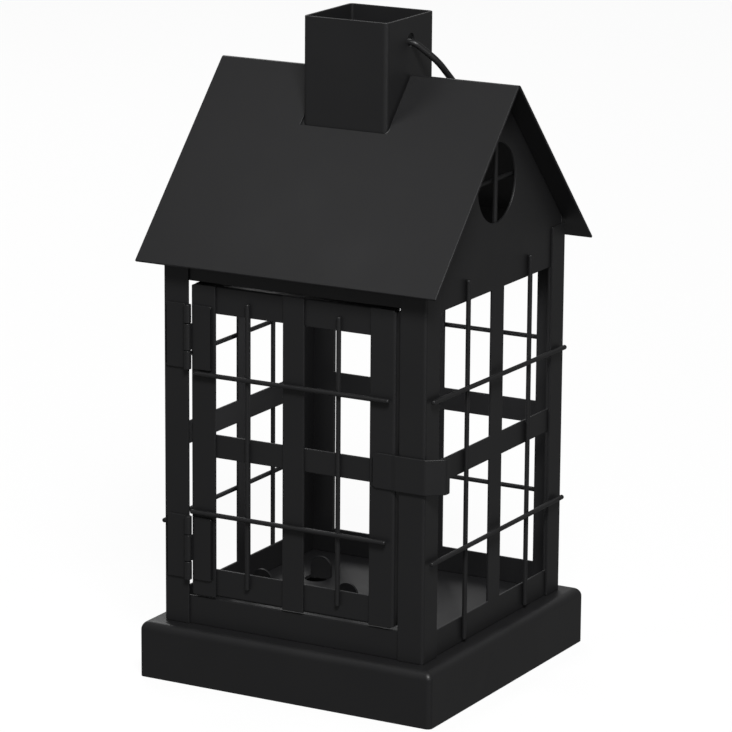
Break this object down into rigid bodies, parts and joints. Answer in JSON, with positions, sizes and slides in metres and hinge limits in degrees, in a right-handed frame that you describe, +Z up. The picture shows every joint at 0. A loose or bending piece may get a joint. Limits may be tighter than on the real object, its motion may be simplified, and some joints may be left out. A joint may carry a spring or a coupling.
{
  "type": "candle lantern",
  "caption": "House-shaped candle lantern in black sheet steel: hinged front door, paned windows with round bars, gabled roof, square chimney and a swinging wire bail.",
  "frame": {"origin": "centre of the base tray's underside, on the ground", "axes": "+Z up, the door faces -Y, the ridge of the roof runs along X with the door's hinges on the -X side"},
  "size_m": [0.1262, 0.1262, 0.25],
  "materials": {
    "black_steel": "satin",
    "black_rod": "satin",
    "black_hardware": "satin"
  },
  "bodies": {
    "lantern": {"back_wall": "black_steel", "back_window_rod_left": "black_rod", "back_window_rod_lower": "black_rod", "back_window_rod_right": "black_rod", "back_window_rod_upper": "black_rod", "base_tray": "black_steel", "chimney": "black_steel", "corner_post_back_left": "black_steel", "corner_post_back_right": "black_steel", "corner_post_front_left": "black_steel", "corner_post_front_right": "black_steel", "front_header": "black_steel", "front_sill": "black_steel", "gable_wall_left": "black_steel", "gable_wall_right": "black_steel", "left_gable_rod_crossing": "black_rod", "left_gable_rod_upright": "black_rod", "left_window_rod_back": "black_rod", "left_window_rod_front": "black_rod", "left_window_rod_lower": "black_rod", "left_window_rod_upper": "black_rod", "lower_hinge_pin": "black_hardware", "lower_hinge_post_leaf": "black_hardware", "right_gable_rod_crossing": "black_rod", "right_gable_rod_upright": "black_rod", "right_window_rod_back": "black_rod", "right_window_rod_front": "black_rod", "right_window_rod_lower": "black_rod", "right_window_rod_upper": "black_rod", "roof": "black_steel", "upper_hinge_pin": "black_hardware", "upper_hinge_post_leaf": "black_hardware"},
    "door": {"door_centre_bar": "black_steel", "door_clasp": "black_hardware", "door_rail_bottom": "black_steel", "door_rail_middle": "black_steel", "door_rail_top": "black_steel", "door_rod_left": "black_rod", "door_rod_lower": "black_rod", "door_rod_right": "black_rod", "door_rod_upper": "black_rod", "door_stile_left": "black_steel", "door_stile_right": "black_steel", "lower_hinge_door_leaf": "black_hardware", "upper_hinge_door_leaf": "black_hardware"},
    "bail": {"bail_handle": "black_rod"}
  },
  "joints": [
    {"name": "door_hinge", "type": "hinge", "parent": "lantern", "child": "door", "pos_m": [-0.0441, -0.0569, 0.0925], "axis": [0, 0, -1], "range_deg": [0, 175]},
    {"name": "bail_swing", "type": "hinge", "parent": "lantern", "child": "bail", "pos_m": [0, 0, 0.2406], "axis": [1, 0, 0], "range_deg": [0, 282]}
  ]
}
